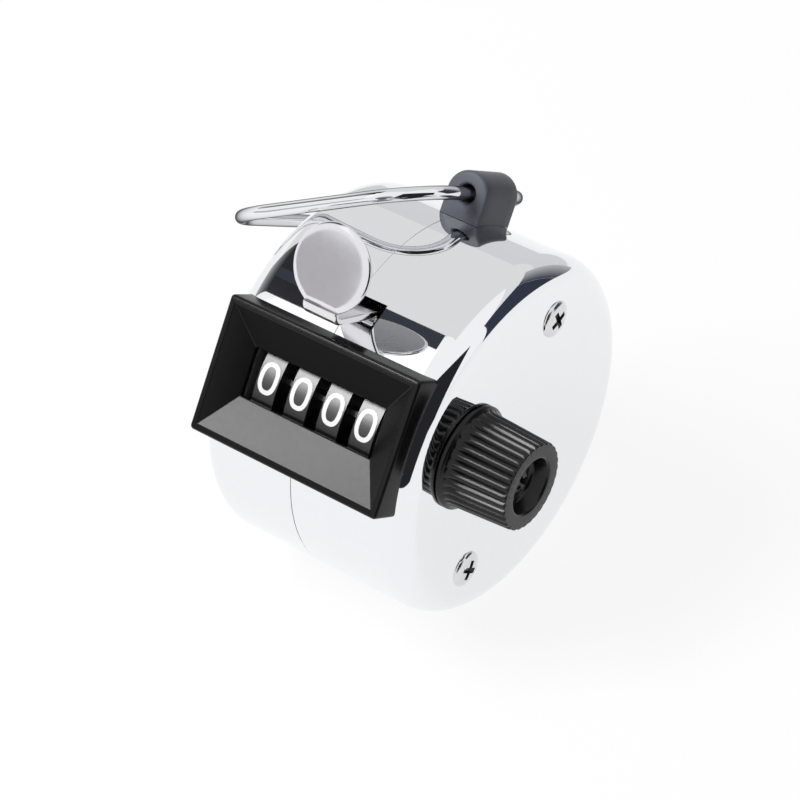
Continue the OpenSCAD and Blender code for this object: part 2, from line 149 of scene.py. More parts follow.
class TrimSizes(bpy.types.PropertyGroup):
    """Sizes of the lever, the knob, the ring and the figures."""

    pad_r: size("Pad radius", 5.2, "Radius of the thumb pad")
    pad_rise: size("Pad rise", 5.75, "Height of the pad's middle above the lever's arm")
    lever_w: size("Arm width", 4.75, "Width of the lever's arm")
    lever_t: size("Lever sheet", 0.9, "Thickness of the lever's sheet")
    lever_reach: size("Arm reach", 7.5, "Length of the arm outside the drum")
    knob_ribs: bpy.props.IntProperty(
        name="Knob ribs", description="Number of grip ribs", default=30, min=8
    )
    ring_w: size("Ring width", 28.0, "Width of the ring along the block's hole")
    ring_l: size("Ring length", 28.7, "Length of the ring across the block's hole")
    ring_corner: size("Ring corners", 7.5, "Radius of the ring's corners")
    wire_r: size("Ring wire", 0.84, "Radius of the ring's wire")
    figure_h: size("Figure height", 3.95, "Height of a printed figure")
    figure_w: size("Figure width", 2.65, "Width of a printed figure")
    figure_line: size("Figure line", 0.56, "Width of a figure's printed line")


class FinishColours(bpy.types.PropertyGroup):
    """Base colours of the finishes."""

    chrome: tint("Chrome", SLOTS["chrome_shell"], "Mirror chrome of the drum")
    lever: tint("Lever", SLOTS["lever_chrome"], "Satin chrome of the lever")
    # The pad's back is painted shade: a darker copy of the lever's chrome, which the drum mirrors as a grey band.
    pad_back_shade: tint("Pad back", (0.33, 0.33, 0.345), "Unpolished back of the thumb pad")
    frame_black: tint("Frame", scaled(SLOTS["black_frame"], 0.5), "Moulded black of the frame")
    knob_black: tint("Knob", scaled(SLOTS["black_knob"], 0.5), "Moulded black of the knob")
    # The knob's end face is painted light: a much lighter grey than the knob's black, on its matt face.
    knob_end: tint("Knob end", (0.17, 0.17, 0.167), "Matt end of the knob")
    block_grey: tint("Block", scaled(SLOTS["grey_block"], 1.55), "Moulded grey of the ring block")
    wheel_black: tint("Wheels", scaled(SLOTS["black_wheel"], 0.4), "Black of the number wheels")
    figure_white: tint("Figures", (0.86, 0.86, 0.86), "White of the printed figures")
    wire: tint("Ring", SLOTS["ring_wire"], "Polished wire of the ring")
    steel: tint("Steel", SLOTS["plain_steel"], "Plain steel inside")
    screw: tint("Screws", SLOTS["screw_steel"], "Nickelled steel of the screws")
    # The knob's screw is nickelled steel; this near black is painted shade for its place deep in the recess.
    knob_screw: tint("Knob screw", (0.05, 0.05, 0.052), "Blackened steel of the knob's screw")
    # Painted shade on the walls of the screws' cross recesses.
    recess: tint("Recesses", (0.09, 0.088, 0.09), "Walls of the screws' cross recesses")
    brass: tint("Brass", SLOTS["gear_brass"], "Stamped brass of the pinions")
    spring: tint("Springs", SLOTS["spring_steel"], "Drawn steel of the springs")


# Finishes

FINISHES = {
    # finish: colour setting, metallic, roughness and its variation, scale and relief of the
    # handling marks, specular level, variation of the tone, tone of reflections at the edge
    "mirror_chrome": ("chrome", 1.0, 0.03, 0.02, 700.0, 0.0, 0.5, 0.02, 1.0),
    "satin_chrome": ("lever", 1.0, 0.14, 0.05, 900.0, 0.02, 0.5, 0.04, 1.0),
    # painted shade: a darker copy of the lever's chrome for the back of the pad
    "painted_shade_chrome": ("pad_back_shade", 1.0, 0.28, 0.1, 1200.0, 0.05, 0.5, 0.1, 1.0),
    "moulded_black": ("frame_black", 0.0, 0.22, 0.08, 1600.0, 0.04, 0.2, 0.2, 1.0),
    # painted shade: a less glossy copy of the frame's black that darkens the well's upper slope
    "painted_shade_black": ("frame_black", 0.0, 0.3, 0.08, 1600.0, 0.04, 0.06, 0.2, 1.0),
    "ribbed_black": ("knob_black", 0.0, 0.24, 0.1, 2600.0, 0.0, 0.32, 0.2, 1.0),
    # painted light: a lighter grey copy of the knob's black for its flat, matt end face
    "knob_end": ("knob_end", 0.0, 0.6, 0.1, 2600.0, 0.1, 0.3, 0.2, 1.0),
    "nickelled_steel": ("screw", 1.0, 0.16, 0.1, 1500.0, 0.03, 0.5, 0.1, 1.0),
    # painted shade: a near black copy of the nickelled screw steel for the screw in the knob's recess
    "painted_shade_steel": ("knob_screw", 1.0, 0.3, 0.1, 1500.0, 0.03, 0.5, 0.1, 1.0),
    "recess_shade": ("recess", 1.0, 0.4, 0.1, 1500.0, 0.05, 0.5, 0.1, 1.0),
    "moulded_grey": ("block_grey", 0.0, 0.42, 0.1, 1800.0, 0.12, 0.2, 0.15, 1.0),
    # painted shade: the wire's edge tone of 0.08 darkens the reflections along its edges
    "polished_wire": ("wire", 1.0, 0.05, 0.04, 900.0, 0.01, 0.5, 0.04, 0.08),
    "plain_steel": ("steel", 1.0, 0.35, 0.15, 1200.0, 0.1, 0.5, 0.1, 1.0),
    "wheel_black": ("wheel_black", 0.0, 0.3, 0.04, 1500.0, 0.0, 0.8, 0.2, 1.0),
    "figure_white": ("figure_white", 0.0, 0.5, 0.08, 2500.0, 0.05, 0.5, 0.1, 1.0),
    "stamped_brass": ("brass", 1.0, 0.3, 0.12, 1200.0, 0.08, 0.5, 0.1, 1.0),
    "drawn_steel": ("spring", 1.0, 0.28, 0.1, 1500.0, 0.05, 0.5, 0.1, 1.0),
}
SLOT_FINISH = {
    "chrome_shell": "mirror_chrome",
    "lever_chrome": "satin_chrome",
    "black_frame": "moulded_black",
    "black_knob": "ribbed_black",
    "screw_steel": "nickelled_steel",
    "grey_block": "moulded_grey",
    "ring_wire": "polished_wire",
    "plain_steel": "plain_steel",
    "black_wheel": "wheel_black",
    "gear_brass": "stamped_brass",
    "spring_steel": "drawn_steel",
}
MARK_DETAIL = 5.0
MARK_DEPTH = 0.00005  # metres


def link(tree, source, target):
    """Joins two sockets of a node tree."""
    tree.links.new(source, target)


def preset(node, values):
    """Sets the inputs of a node by name."""
    for label, value in values.items():
        node.inputs[label].default_value = value


def math_node(tree, operation, *values):
    """A math node whose values are sockets to join or numbers to set."""
    node = tree.nodes.new("ShaderNodeMath")
    node.operation = operation
    for socket, value in zip(node.inputs, values):
        if isinstance(value, bpy.types.NodeSocket):
            link(tree, value, socket)
        else:
            socket.default_value = value
    return node


def polish_group():
    """Node group that turns fine handling marks into a colour, a roughness and a normal."""
    made = bpy.data.node_groups.get("polish marks")
    if made:
        return made
    tree = bpy.data.node_groups.new("polish marks", "ShaderNodeTree")
    numbers = dict.fromkeys(("Tone", "Roughness", "Variation", "Scale", "Relief"), "Float")
    for side, sockets in (
        ("INPUT", {"Colour": "Color", **numbers}),
        ("OUTPUT", {"Colour": "Color", "Roughness": "Float", "Normal": "Vector"}),
    ):
        for label, kind in sockets.items():
            tree.interface.new_socket(label, in_out=side, socket_type="NodeSocket" + kind)
    enter = tree.nodes.new("NodeGroupInput").outputs
    leave = tree.nodes.new("NodeGroupOutput").inputs
    coords = tree.nodes.new("ShaderNodeTexCoord")
    cloud = tree.nodes.new("ShaderNodeTexNoise")
    preset(cloud, {"Detail": MARK_DETAIL})
    link(tree, coords.outputs["Object"], cloud.inputs["Vector"])
    link(tree, enter["Scale"], cloud.inputs["Scale"])
    marks = math_node(tree, "SUBTRACT", cloud.outputs["Fac"], 0.5).outputs[0]
    spread = math_node(tree, "MULTIPLY_ADD", marks, enter["Variation"], enter["Roughness"])
    spread.use_clamp = True
    link(tree, spread.outputs[0], leave["Roughness"])
    shade = math_node(tree, "MULTIPLY_ADD", marks, enter["Tone"], 1.0)
    toned = tree.nodes.new("ShaderNodeVectorMath")
    toned.operation = "SCALE"
    link(tree, enter["Colour"], toned.inputs[0])
    link(tree, shade.outputs[0], toned.inputs["Scale"])
    link(tree, toned.outputs[0], leave["Colour"])
    bump = tree.nodes.new("ShaderNodeBump")
    preset(bump, {"Distance": MARK_DEPTH})
    link(tree, enter["Relief"], bump.inputs["Strength"])
    link(tree, cloud.outputs["Fac"], bump.inputs["Height"])
    link(tree, bump.outputs["Normal"], leave["Normal"])
    return tree


def finish(name):
    """The procedural finish of a name in the table, with its own handling marks."""
    made = bpy.data.materials.get(name)
    if made:
        return made
    setting, metallic, roughness, variation, scale, relief, specular, tone, edge = FINISHES[name]
    colour = getattr(bpy.context.scene.counter_colours, setting)
    mat = bpy.data.materials.new(name)
    mat.use_nodes = True
    tree = mat.node_tree
    shader = tree.nodes["Principled BSDF"]
    preset(shader, {"Metallic": metallic, "Specular IOR Level": specular})
    preset(shader, {"Specular Tint": (edge, edge, edge, 1.0)})
    marks = tree.nodes.new("ShaderNodeGroup")
    marks.node_tree = polish_group()
    preset(marks, {"Colour": (*colour, 1.0), "Tone": tone, "Roughness": roughness})
    preset(marks, {"Variation": variation, "Scale": scale, "Relief": relief})
    link(tree, marks.outputs["Colour"], shader.inputs["Base Color"])
    link(tree, marks.outputs["Roughness"], shader.inputs["Roughness"])
    link(tree, marks.outputs["Normal"], shader.inputs["Normal"])
    return mat


# Shapes


def turned(angle):
    """Rows X, outward and upward of a place that lies at an angle above the front."""
    c, q = math.cos(angle), math.sin(angle)
    return np.array([[1.0, 0.0, 0.0], [0.0, -c, q], [0.0, q, c]])


def loft(loops, closed=False):
    """Points and faces of a skin through loops with equal counts of points."""
    count = len(loops[0])
    points = np.concatenate(loops)
    faces = []
    rows = len(loops)
    for i in range(rows if closed else rows - 1):
        a, b = i * count, ((i + 1) % rows) * count
        for k in range(count):
            n = (k + 1) % count
            faces.append((a + k, a + n, b + n, b + k))
    if not closed:
        faces.append(tuple(reversed(range(count))))
        faces.append(tuple(range((rows - 1) * count, rows * count)))
    return points, faces


def joined(*shapes):
    """Several shapes as one list of points and faces."""
    points, faces, start = [], [], 0
    for p, f in shapes:
        points.append(p)
        faces.extend(tuple(i + start for i in face) for face in f)
        start += len(p)
    return np.concatenate(points), faces


def circle(x, reach, turn, place):
    """Points round an axis along X at a side view place; x and reach may vary by point."""
    y = place[0] + reach * np.cos(turn)
    z = place[1] + reach * np.sin(turn)
    return np.stack([np.full(len(turn), x), y, z], 1)


def spun(profile, steps, place, closed=False):
    """Skin of a profile of (x, r) turned about an axis along X at a side view place."""
    turn = np.linspace(0.0, 2 * math.pi, steps, endpoint=False)
    return loft([circle(x, r, turn, place) for x, r in profile], closed)


def arc(cx, cy, rx, ry, start, end, steps):
    """Points of an arc, in degrees."""
    t = np.radians(np.linspace(start, end, steps))
    return np.stack([cx + rx * np.cos(t), cy + ry * np.sin(t)], 1)


def rounded_box(half_w, half_h, radius, middle=0.0, steps=6):
    """Outline of a rectangle with rounded corners."""
    corners = []
    for sx, sy, start in ((1, 1, 0), (-1, 1, 90), (-1, -1, 180), (1, -1, 270)):
        cx, cy = sx * (half_w - radius), middle + sy * (half_h - radius)
        corners.append(arc(cx, cy, radius, radius, start, start + 90, steps))
    return np.concatenate(corners)


def mesh_of(name, points, faces, sharp=35.0):
    """A smooth mesh in metres from points in millimetres."""
    mesh = bpy.data.meshes.new(name)
    mesh.from_pydata((np.asarray(points) * MM).tolist(), [], faces)
    mesh.validate()
    mesh.update()
    mesh.polygons.foreach_set("use_smooth", [True] * len(mesh.polygons))
    mesh.set_sharp_from_angle(angle=math.radians(sharp))
    return mesh


def outward(mesh):
    """Turns all faces of a closed mesh outward."""
    work = bmesh.new()
    work.from_mesh(mesh)
    bmesh.ops.recalc_face_normals(work, faces=work.faces)
    work.to_mesh(mesh)
    work.free()
    mesh.update()
    return mesh


def shown(name, mesh, body, slot, *nodes, look=None):
    """A piece of the counter that rides on a body and stands for CAD nodes."""
    piece = bpy.data.objects.new(name, mesh)
    bpy.context.scene.collection.objects.link(piece)
    mesh.materials.clear()
    mesh.materials.append(finish(look or SLOT_FINISH[slot]))
    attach(piece, body)
    if nodes:
        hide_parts(*nodes)
    return piece


def two_tone(piece, second, chosen):
    """Gives a second finish to the faces whose centre, in millimetres, is chosen."""
    piece.data.materials.append(finish(second))
    for face in piece.data.polygons:
        if chosen(np.array(face.center) / MM):
            face.material_index = 1


def cut(mesh, cutters):
    """The mesh with the cutter meshes taken away."""
    scene = bpy.context.scene
    base = bpy.data.objects.new("cut_base", mesh)
    scene.collection.objects.link(base)
    tools = []
    for cutter in cutters:
        tool = bpy.data.objects.new("cut_tool", cutter)
        scene.collection.objects.link(tool)
        step = base.modifiers.new("cut", "BOOLEAN")
        step.operation = "DIFFERENCE"
        step.solver = "EXACT"
        step.object = tool
        tools.append(tool)
    bpy.context.view_layer.update()
    graph = bpy.context.evaluated_depsgraph_get()
    solved = bpy.data.meshes.new_from_object(base.evaluated_get(graph))
    for extra in (base, *tools):
        bpy.data.objects.remove(extra)
    return solved


def block_cutter(name, axes, low, high):
    """A box between two corners given along rows of axes."""
    corners = np.array(
        [[(low if i & bit else high)[k] for k, bit in enumerate((1, 2, 4))] for i in range(8)]
    )
    faces = [(0, 1, 3, 2), (4, 6, 7, 5), (0, 4, 5, 1), (2, 3, 7, 6), (0, 2, 6, 4), (1, 5, 7, 3)]
    return outward(mesh_of(name, corners @ axes, faces))


# Drum

SLOT_ANGLE = math.radians(60.5)  # of the lever's slot, above the front
# low and high corners of the cuts in millimetres: along X, outward, upward
SLOT_CUT = ((-3.2, 20.0, -1.4), (3.2, 25.0, 2.0))
WINDOW_CUT = ((-10.3, 19.0, -3.9), (10.3, 26.0, 3.9))
SHAFT_BORE = ((10.0, 1.75), (17.0, 1.75))  # x, r


def past_rim(p, s):
    """How far a point lies past the middle of the rounded rim, along the drum and across it."""
    x, y, z = p
    return abs(x) - (s.drum_half - s.rim_r), math.hypot(y, z) - (s.drum_r - s.rim_r)


def drum_normal(p, s):
    """Outward direction of the drum's skin at a point in millimetres."""
    x, y, z = p
    r = math.hypot(y, z)
    along, across = past_rim(p, s)
    if along <= 0:
        return (0.0, y / r, z / r)
    if across <= 0:
        return (math.copysign(1.0, x), 0.0, 0.0)
    away = math.hypot(along, across)
    return (math.copysign(along / away, x), across / away * y / r, across / away * z / r)


def drum_depth(p, s):
    """How far a point in millimetres lies under the drum's outer skin."""
    along, across = past_rim(p, s)
    if along > 0 and across > 0:
        return s.rim_r - math.hypot(along, across)
    return s.rim_r - max(along, across)


def cup(name, side, s):
    """One cup of the drum, with a fine rolled edge and a seam that opens towards the bottom."""
    steps, roll, gap = 192, 0.06, 0.012
    opening, open_from, open_over = 0.05, 12.0, 20.0
    end_rings = (15.0, 8.0, 1.0)
    seam = s.seam_x + side * gap
    end = side * s.drum_half
    straight = end - side * s.rim_r
    bend = s.rim_r - s.wall
    profile = [(seam, s.drum_r - s.wall / 2), (seam, s.drum_r - roll)]
    profile += [
        (seam + side * roll * (1 - math.cos(t)), s.drum_r - roll * (1 - math.sin(t)))
        for t in np.radians([22.5, 45, 67.5, 90])
    ]
    profile += [(seam + (straight - seam) * k, s.drum_r) for k in (0.25, 0.5, 0.75, 1.0)]
    profile += [
        (straight + side * s.rim_r * math.sin(t), s.drum_r - s.rim_r * (1 - math.cos(t)))
        for t in np.radians(np.linspace(6, 90, 15))
    ]
    profile += [(end, r) for r in end_rings]
    middle = len(profile) - 1
    profile += [(end - side * s.wall, r) for r in reversed(end_rings)]
    profile += [
        (straight + side * bend * math.sin(t), s.drum_r - s.wall - bend * (1 - math.cos(t)))
        for t in np.radians(np.linspace(90, 6, 8))
    ]
    profile += [(straight, s.drum_r - s.wall), (seam, s.drum_r - s.wall)]
    points, faces = spun(profile, steps, (0.0, 0.0), closed=True)
    edge = np.abs(points[:, 0] - seam) < roll + 0.001
    down = np.clip((open_from - points[edge, 2]) / open_over, 0.0, 1.0)
    points[edge, 0] += side * opening * down
    # the end's middle is closed by a disc on each side of the sheet
    faces = [f for f in faces if not (f[0] // steps == middle and f[2] // steps == middle + 1)]
    faces.append(tuple(middle * steps + k for k in range(steps)))
    faces.append(tuple((middle + 1) * steps + k for k in reversed(range(steps))))
    return outward(mesh_of(name, points, faces))


def polished_normals(mesh, s):
    """Gives the drum's skin its true normals, so that reflections run clean past the cuts."""
    face_depth, point_depth, agree = 0.12, 0.02, 0.9
    normals = []
    for face in mesh.polygons:
        middle = np.array(face.center) / MM
        skin = drum_depth(middle, s) < face_depth
        for i in face.loop_indices:
            p = np.array(mesh.vertices[mesh.loops[i].vertex_index].co) / MM
            facing = Vector(drum_normal(p, s)) if skin else None
            if skin and drum_depth(p, s) < point_depth and facing.dot(face.normal) > agree:
                normals.append(tuple(facing))
            else:
                normals.append(tuple(mesh.corner_normals[i].vector))
    mesh.normals_split_custom_set(normals)


class COUNTER_OT_drum(bpy.types.Operator):
    """Build the two chromed cups of the drum"""

    bl_idname = "counter.drum"
    bl_label = "Drum"

    def execute(self, context):
        s = in_mm(context.scene.counter_case)
        for node, side in (("left_shell", -1), ("right_shell", 1)):
            cutters = [
                block_cutter("slot", turned(SLOT_ANGLE), *SLOT_CUT),
                block_cutter("opening", turned(s.win_angle), *WINDOW_CUT),
            ]
            if side > 0:
                bore = spun(SHAFT_BORE, 48, joint_place("reset_turn"))
                cutters.append(outward(mesh_of("bore", *bore)))
            mesh = cut(cup(node, side, s), cutters)
            mesh.set_sharp_from_angle(angle=math.radians(30))
            polished_normals(mesh, s)
            shown("drum_" + node, mesh, "case", "chrome_shell", node)
        return {"FINISHED"}


# Window frame


def drum_front(x, v, s):
    """Distance of the drum's skin from its axis plane, along the window's direction."""
    beyond = max(abs(x) - (s.drum_half - s.rim_r), 0.0)
    r = s.drum_r - s.rim_r + math.sqrt(max(s.rim_r**2 - beyond**2, 0.0))
    return math.sqrt(r * r - v * v)


class COUNTER_OT_window_frame(bpy.types.Operator):
    """Build the black window frame with its sloping well"""

    bl_idname = "counter.window_frame"
    bl_label = "Window frame"

    def execute(self, context):
        s = in_mm(context.scene.counter_case)
        axes = turned(s.win_angle)
        w, h, shift, front = s.bezel_w / 2, s.bezel_h / 2, -0.3, s.bezel_front
        win_w, win_h, floor, back = s.win_w / 2, s.win_h / 2, 22.85, 22.32
        edge, corner_r, lip = 0.4, 0.5, 0.8
        land, slope_top, brink = 0.8, 0.92, 0.1
        foot_out, foot_up = 0.12, 0.06
        shade_margin_front, shade_margin_window = 0.2, 0.3

        def loop(half_w, half_h, corner, out, middle):
            """An outline at a distance outward, or on the drum's skin where that is None."""
            outline = rounded_box(half_w, half_h, corner, middle)
            depth = [drum_front(x, v, s) + SEAT_GAP if out is None else out for x, v in outline]
            return np.stack([outline[:, 0], depth, outline[:, 1]], 1) @ axes

        # half width, half height, corner radius, distance outward, middle
        rows = [(w, h, corner_r, None, shift), (w, h, corner_r, front - edge, shift)]
        for t in np.radians([22, 45, 67, 90]):
            inset = edge * (1 - math.cos(t))
            out = front - edge + edge * math.sin(t)
            rows.append((w - inset, h - inset, corner_r - inset, out, shift))
        rows += [
            (w - land, h - land, 0.1, front, shift),
            (w - slope_top, h - slope_top, 0.08, front - brink, shift),
            (win_w + foot_out, win_h + foot_out, 0.12, floor + foot_up, 0.0),
            (win_w, win_h, 0.15, floor - foot_up, 0.0),
            (win_w, win_h, 0.15, back, 0.0),
            (win_w + lip, win_h + lip, 0.3, back, 0.0),
            (win_w + lip, win_h + lip, 0.3, None, 0.0),
        ]
        skin = loft([loop(*row) for row in rows], closed=True)
        mesh = outward(mesh_of("window_frame", *skin, sharp=15.0))
        piece = shown("window_frame", mesh, "case", "black_frame", "bezel")

        # The well's upper slope gets painted shade, a less glossy copy of the frame's black.
        def painted_shade_slope(centre):
            x, out, up = axes @ centre
            above = up > win_h + shade_margin_window and abs(x) < win_w
            return above and floor < out < front - shade_margin_front

        two_tone(piece, "painted_shade_black", painted_shade_slope)
        return {"FINISHED"}


# Thumb lever

LEVER_TILT = math.radians(25.0)
LEVER_ROOT = math.radians(60.8)  # angle above the front at which the arm leaves the drum
BACK_MARGIN = 0.02  # faces this close to the pad's back belong to it


class COUNTER_OT_thumb_lever(bpy.types.Operator):
    """Build the pressed thumb lever with its rounded pad"""

    bl_idname = "counter.thumb_lever"
    bl_label = "Thumb lever"

    def execute(self, context):
        t = in_mm(context.scene.counter_trim)
        s = in_mm(context.scene.counter_case)
        axes = turned(LEVER_TILT)
        start = np.array([0.0, -s.drum_r * math.cos(LEVER_ROOT), s.drum_r * math.sin(LEVER_ROOT)])
        half_w, half_t, bend = t.lever_w / 2, t.lever_t / 2, 1.05
        mid = t.lever_reach
        back, front = mid - half_t, mid + half_t
        root, arm_edge = -2.0, 0.3
        edge, crown, dome, dome_low = 0.35, 0.85, 0.0065, 1.5
        neck = np.array([half_w, bend - t.pad_rise])
        lean = math.acos(t.pad_r / np.linalg.norm(neck))
        meet = math.degrees(math.atan2(neck[1], neck[0])) + math.degrees(lean)
        outline = arc(0.0, t.pad_rise, t.pad_r, t.pad_r, meet, 180.0 - meet, 97)
        outline = np.concatenate([[[half_w, bend]], outline, [[-half_w, bend], [0.0, bend]]])
        centre = np.array([0.0, t.pad_rise])

        def ring_of(inset, out, share=1.0, fall=0.0):
            """The pad's outline drawn in, at a distance outward that falls away like a dome."""
            away = outline - centre
            reach = np.linalg.norm(away, axis=1, keepdims=True)
            drawn = centre + away * (reach - inset) / reach
            drawn[:, 1] = np.maximum(drawn[:, 1], bend)
            drawn = centre + (drawn - centre) * share
            drop = fall * ((drawn - centre + (0.0, dome_low)) ** 2).sum(1)
            return np.stack([drawn[:, 0], out - drop, drawn[:, 1]], 1)

        rows = []
        for a in np.radians([-90, -60, -30]):
            rows.append(ring_of(edge * (1 - math.cos(a)), back + edge + edge * math.sin(a)))
        for a in np.radians(range(0, 91, 10)):
            out = front - edge + edge * math.sin(a)
            rows.append(ring_of(crown * (1 - math.cos(a)), out, fall=dome))
        for share in (0.94, 0.86, 0.76, 0.64, 0.5, 0.35, 0.2, 0.08):
            rows.append(ring_of(crown, front, share, dome))

        # the arm's middle line: outward, upward, turn
        path = [(root, 0.0, 0.0), (0.0, 0.0, 0.0), (mid - bend, 0.0, 0.0)]
        path += [
            (mid - bend + bend * math.sin(a), bend - bend * math.cos(a), a)
            for a in np.radians(np.linspace(9, 90, 10))
        ]
        section = rounded_box(half_w, half_t, arm_edge)
        strips = [
            np.array([(x, out + q * math.sin(a), up - q * math.cos(a)) for x, q in section])
            for out, up, a in path
        ]
        points, faces = joined(loft(rows), loft(strips))
        mesh = outward(mesh_of("thumb_lever", points @ axes + start, faces, sharp=40.0))
        lever = shown("thumb_lever_pressed", mesh, "lever", "lever_chrome", "thumb_lever")

        # The back of the pad gets painted shade, a darker copy of its chrome.
        def pad_back_shade(centre):
            _, out, up = axes @ (centre - start)
            return out < back + BACK_MARGIN and up > 2 * bend

        two_tone(lever, "painted_shade_chrome", pad_back_shade)
        hub_r, flank_r, bore_r, chamfer = 1.55, 1.4, 0.85, 0.15
        flank = [(half_w - chamfer, hub_r), (half_w, flank_r), (half_w, bore_r)]
        profile = [(-x, r) for x, r in reversed(flank)] + flank
        hub = spun(profile, 48, joint_place("lever_press"))
        shown("lever_hub", outward(mesh_of("lever_hub", *hub)), "lever", "lever_chrome")
        return {"FINISHED"}


# Reset knob

KNOB_STATIONS = (
    # x, radius, depth of the grooves: flange
    (15.13, 1.6, 0.0),
    (15.13, 6.42, 0.0),
    (15.18, 6.48, 0.0),
    (15.5, 6.48, 0.0),
    # run-out of the grooves
    (15.62, 6.4, 0.0),
    (15.72, 6.22, 0.0),
    (15.85, 6.04, 0.03),
    (16.1, 5.93, 0.12),
    (16.6, 5.88, 0.27),
    (17.2, 5.84, 0.4),
    # grip
    (17.8, 5.81, 0.46),
    (23.4, 5.5, 0.44),
    # rounded end
    (23.72, 5.48, 0.36),
    (23.92, 5.42, 0.24),
    (24.0, 5.3, 0.12),
    # recess
    (24.0, 3.75, 0.0),
    (23.93, 3.58, 0.0),
    (23.7, 3.44, 0.0),
    (22.3, 3.1, 0.0),
    (21.95, 2.9, 0.0),
    (21.8, 2.5, 0.0),
    (21.8, 0.9, 0.0),
)
KNOB_END_X = 23.97  # faces past this belong to the knob's end
RIB_POINTS, RIB_POWER = 10, 0.8  # points on each rib, and the power that rounds it
KNOB_SCREW = (21.8, 1.9, 0.95)  # x of the seat, radius, height of the head
KNOB_SCREW_LEAN = 20


class COUNTER_OT_reset_knob(bpy.types.Operator):
    """Build the ribbed reset knob and the screw in its recess"""

    bl_idname = "counter.reset_knob"
    bl_label = "Reset knob"

    def execute(self, context):
        ribs = context.scene.counter_trim.knob_ribs
        place = joint_place("reset_turn")
        turn = np.linspace(0.0, 2 * math.pi, ribs * RIB_POINTS, endpoint=False)
        groove = np.abs(np.sin(turn * ribs / 2)) ** RIB_POWER
        loops = [circle(x, r - deep * (1 - groove), turn, place) for x, r, deep in KNOB_STATIONS]
        mesh = outward(mesh_of("reset_knob", *loft(loops, closed=True), sharp=50.0))
        knob = shown("reset_knob_ribbed", mesh, "reset_shaft", "black_knob", "reset_knob")
        # The flat end face gets painted light, a lighter grey than the knob's black.
        two_tone(knob, "knob_end", lambda centre: centre[0] > KNOB_END_X)
        # The screw gets painted shade, a near black copy of its nickelled steel.
        mesh = cross_head("knob_screw", place, *KNOB_SCREW, KNOB_SCREW_LEAN)
        rides = ("reset_shaft", "screw_steel", "knob_screw")
        screw = shown("knob_screw_head", mesh, *rides, look="painted_shade_steel")
        shaded_cross(screw, place, *KNOB_SCREW)
        return {"FINISHED"}


# Screws

HEAD_POWER = 0.7  # rounds the heads
COVER_SCREW = (15.0, 2.3, 0.6)  # x of the seat, radius, height of the head
COVER_SCREWS = (
    # name, side view place, lean of the cross
    ("upper", (7.2, 14.2), 20),
    ("lower", (-9.9, -12.8), 55),
)


def cross_head(name, place, x, radius, height, lean):
    """A domed screw head with a cross recess, facing along X."""
    shank_r, shank_l, wide, thin = 0.7, 1.0, radius * 0.6, 0.36
    # place along X and spread of the cross at its bottom, and just above the head
    levels = ((x + height - 0.75, 0.35), (x + height + 0.2, 1.15))
    dome = [(x - shank_l, shank_r), (x, shank_r), (x, radius)]
    dome += [
        (x + height * math.sin(a), radius * math.cos(a) ** HEAD_POWER)
        for a in np.radians([12, 25, 40, 55, 70, 82])
    ]
    mesh = outward(mesh_of(name, *spun(dome, 64, place)))
    faces = [(3, 2, 1, 0), (4, 5, 6, 7), (0, 1, 5, 4), (1, 2, 6, 5), (2, 3, 7, 6), (3, 0, 4, 7)]
    cutters = []
    for turn in (lean, lean + 90):
        c, q = math.cos(math.radians(turn)), math.sin(math.radians(turn))
        axes = np.array([[0.0, c, q], [0.0, -q, c], [1.0, 0.0, 0.0]])
        corners = []
        for z, spread in levels:
            for a, b in ((-1, -1), (1, -1), (1, 1), (-1, 1)):
                corners.append((a * wide * spread, b * thin * (0.6 + 0.4 * spread), z))
        points = np.array(corners) @ axes + np.array([0.0, place[0], place[1]])
        cutters.append(outward(mesh_of("cross", points, faces)))
    mesh = cut(mesh, cutters)
    mesh.set_sharp_from_angle(angle=math.radians(35))
    return mesh


def shaded_cross(screw, place, x, radius, height):
    """Gives the walls of a screw's cross recess their painted shade."""
    widest, under = 0.85 * radius, 0.06

    def inside(centre):
        r = math.hypot(centre[1] - place[0], centre[2] - place[1])
        lean = min(r / radius, 1.0) ** (1 / HEAD_POWER)
        skin = x + height * math.sqrt(1 - lean * lean)
        return r < widest and x < centre[0] < skin - under

    two_tone(screw, "recess_shade", inside)


class COUNTER_OT_cover_screws(bpy.types.Operator):
    """Build the two cross-recess screws of the right end"""

    bl_idname = "counter.cover_screws"
    bl_label = "Cover screws"

    def execute(self, context):
        for name, place, lean in COVER_SCREWS:
            mesh = cross_head("cover_screw_" + name, place, *COVER_SCREW, lean)
            nodes = ("cover_screws",) if name == "upper" else ()
            screw = shown("cover_screw_" + name, mesh, "case", "screw_steel", *nodes)
            shaded_cross(screw, place, *COVER_SCREW)
        return {"FINISHED"}


# Finger ring and its block

BLOCK_ANGLE = math.radians(121.0)  # above the front
RING_DROOP = math.radians(26.5)
HOLE_RISE = 2.9  # millimetres of the block's hole above the drum


